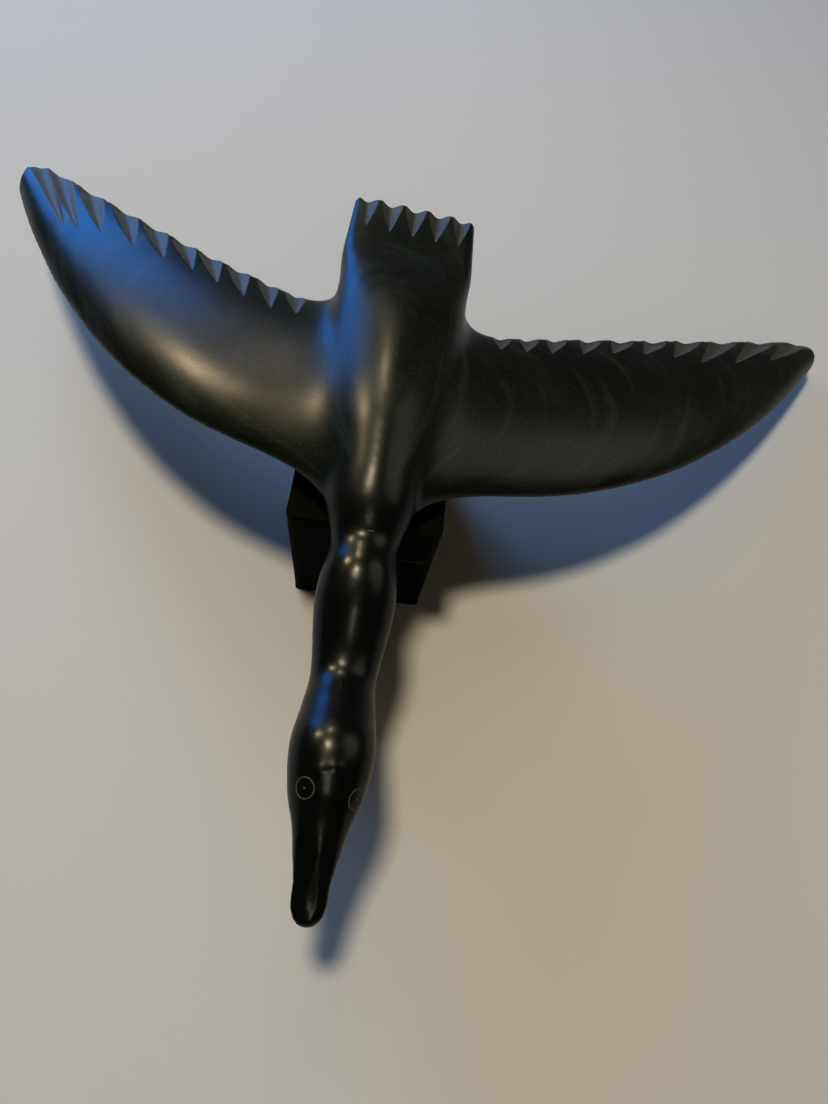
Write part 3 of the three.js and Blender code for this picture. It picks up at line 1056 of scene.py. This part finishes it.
CAMERA_PLACE = Vector((3.9, -141.4, 200.0)) * MM
CAMERA_AIM = Vector((0.0444, 0.5506, -0.8336))
CAMERA_ROLL = math.radians(11.96)
CAMERA_CLIP = 5 * MM
BIRD_MIDDLE = Vector((0, 0, 45)) * MM

# Lamps: name, power setting, direction from the bird, distance and size in metres, colour,
# and what the lamp leaves out, which is either its even light or its reflection
LAMPS = (
    ("key_lamp", "key_power", (-0.17, 0.03, 1), 1.2, 0.22, "#fff0d2", None),
    ("sheen_lamp", "sheen_power", (-0.58, 0.4, 0.7), 1.2, 0.14, "#ffe8bc", "visible_diffuse"),
    ("crown_lamp", "crown_power", (-0.16, 0.62, 0.76), 1.2, 0.12, "#ffe8bc", "visible_diffuse"),
    ("fill_lamp", "fill_power", (0.7, 0.22, 0.68), 1.2, 0.9, "#f4f2e6", "visible_diffuse"),
    ("window", "window_power", (-0.55, 0.8, 0.28), 1.5, 0.75, "#86bdff", "visible_glossy"),
    ("front_lamp", "front_power", (0.25, -0.85, 0.5), 1, 0.6, "#ffe9c4", "visible_glossy"),
    ("bill_lamp", "bill_power", (0.05, -0.64, 0.77), 1, 0.09, "#fff4e0", "visible_diffuse"),
    ("sky", "sky_power", (-0.58, 0.76, 0.27), 1, 0.5, "#3f9cff", "visible_diffuse"),
    ("ceiling", "ceiling_power", (-0.3, 0.62, 0.72), 1.4, 1.1, "#f4eee2", None),
)
FLOOR_SIZE = 4
SURROUNDINGS = "#c9ccd2"
SURROUNDINGS_STRENGTH = 0.02

# A little more contrast, as a phone's picture has
TONE = 0.82


def add_lamp(name, direction, distance, size, power, colour):
    """A round soft lamp that looks at the bird."""
    lamp = bpy.data.lights.new(name, "AREA")
    lamp.shape = "DISK"
    lamp.size = size
    lamp.energy = power
    lamp.color = shade_of(colour)[:3]
    made = bpy.data.objects.new(name, lamp)
    bpy.context.collection.objects.link(made)
    towards = Vector(direction).normalized()
    made.location = BIRD_MIDDLE + towards * distance
    made.rotation_euler = towards.to_track_quat("Z", "Y").to_euler()
    return made


def set_stage(stage):
    """Lays a plain pale floor, hangs the lamps and sets the camera where the photo was taken."""
    bpy.ops.object.select_all(action="DESELECT")
    bpy.ops.mesh.primitive_plane_add(size=FLOOR_SIZE)
    floor = bpy.context.active_object
    floor.name = "floor"
    material = new_material("pale_floor")
    shader = add_node(
        material.node_tree,
        "ShaderNodeBsdfPrincipled",
        Base_Color=stage.floor,
        Roughness=0.9,
        Specular_IOR_Level=0.1,
    )
    add_node(material.node_tree, "ShaderNodeOutputMaterial", Surface=shader.outputs[0])
    floor.data.materials.append(material)
    floor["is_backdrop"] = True

    for name, power, direction, distance, size, colour, left_out in LAMPS:
        lamp = add_lamp(name, direction, distance, size, getattr(stage, power), colour)
        if left_out:
            setattr(lamp, left_out, False)

    scene = bpy.context.scene
    world = bpy.data.worlds.new("studio")
    world.use_nodes = True
    background = world.node_tree.nodes["Background"]
    background.inputs["Color"].default_value = shade_of(SURROUNDINGS)
    background.inputs["Strength"].default_value = SURROUNDINGS_STRENGTH
    scene.world = world
    scene.view_settings.view_transform = "Standard"
    scene.view_settings.gamma = TONE

    camera = bpy.data.cameras.new("camera")
    camera.lens = stage.lens
    camera.clip_start = CAMERA_CLIP
    viewer = bpy.data.objects.new("camera", camera)
    bpy.context.collection.objects.link(viewer)
    turn = CAMERA_AIM.to_track_quat("-Z", "Y").to_matrix() @ Matrix.Rotation(CAMERA_ROLL, 3, "Z")
    viewer.matrix_world = Matrix.Translation(CAMERA_PLACE) @ turn.to_4x4()
    scene.camera = viewer


class STONEBIRD_OT_carve_bird(bpy.types.Operator):
    """Carve the bird with its gouged wings and tail"""

    bl_idname = "stonebird.carve_bird"
    bl_label = "Carve Bird"

    def execute(self, context):
        carve_bird(context.scene.stonebird_bird, context.scene.stonebird_finish)
        return {"FINISHED"}


class STONEBIRD_OT_saw_plinth(bpy.types.Operator):
    """Saw the block that the bird rests on"""

    bl_idname = "stonebird.saw_plinth"
    bl_label = "Saw Plinth"

    def execute(self, context):
        saw_plinth(context.scene.stonebird_finish)
        return {"FINISHED"}


class STONEBIRD_OT_set_stage(bpy.types.Operator):
    """Lay the floor and set up the lamps and the camera"""

    bl_idname = "stonebird.set_stage"
    bl_label = "Set Stage"

    def execute(self, context):
        set_stage(context.scene.stonebird_stage)
        return {"FINISHED"}


class STONEBIRD_PT_sidebar(bpy.types.Panel):
    """Lists the carving's operators and settings"""

    bl_label = "Stone Bird"
    bl_space_type = "VIEW_3D"
    bl_region_type = "UI"
    bl_category = SIDEBAR_TAB

    def draw(self, context):
        for operator in OPERATORS:
            self.layout.operator(operator.bl_idname)
        for name in SETTINGS:
            group = getattr(context.scene, name)
            column = self.layout.column()
            for setting in group.__annotations__:
                column.prop(group, setting)


SETTINGS = {
    "stonebird_bird": BirdSizes,
    "stonebird_finish": StoneFinish,
    "stonebird_stage": StageSettings,
}
OPERATORS = (STONEBIRD_OT_carve_bird, STONEBIRD_OT_saw_plinth, STONEBIRD_OT_set_stage)
CLASSES = (*SETTINGS.values(), *OPERATORS, STONEBIRD_PT_sidebar)


def register():
    for one in CLASSES:
        bpy.utils.register_class(one)
    for name, group in SETTINGS.items():
        setattr(bpy.types.Scene, name, bpy.props.PointerProperty(type=group))


def unregister():
    for name in SETTINGS:
        delattr(bpy.types.Scene, name)
    for one in reversed(CLASSES):
        bpy.utils.unregister_class(one)


def main():
    register()
    bpy.ops.stonebird.carve_bird()
    bpy.ops.stonebird.saw_plinth()
    bpy.ops.stonebird.set_stage()
    boxes = {"cad": CAD_BOX, "visual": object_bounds()}
    {name: [list(corner) for corner in box] for name, box in boxes.items()}


if __name__ == "__main__":
    main()
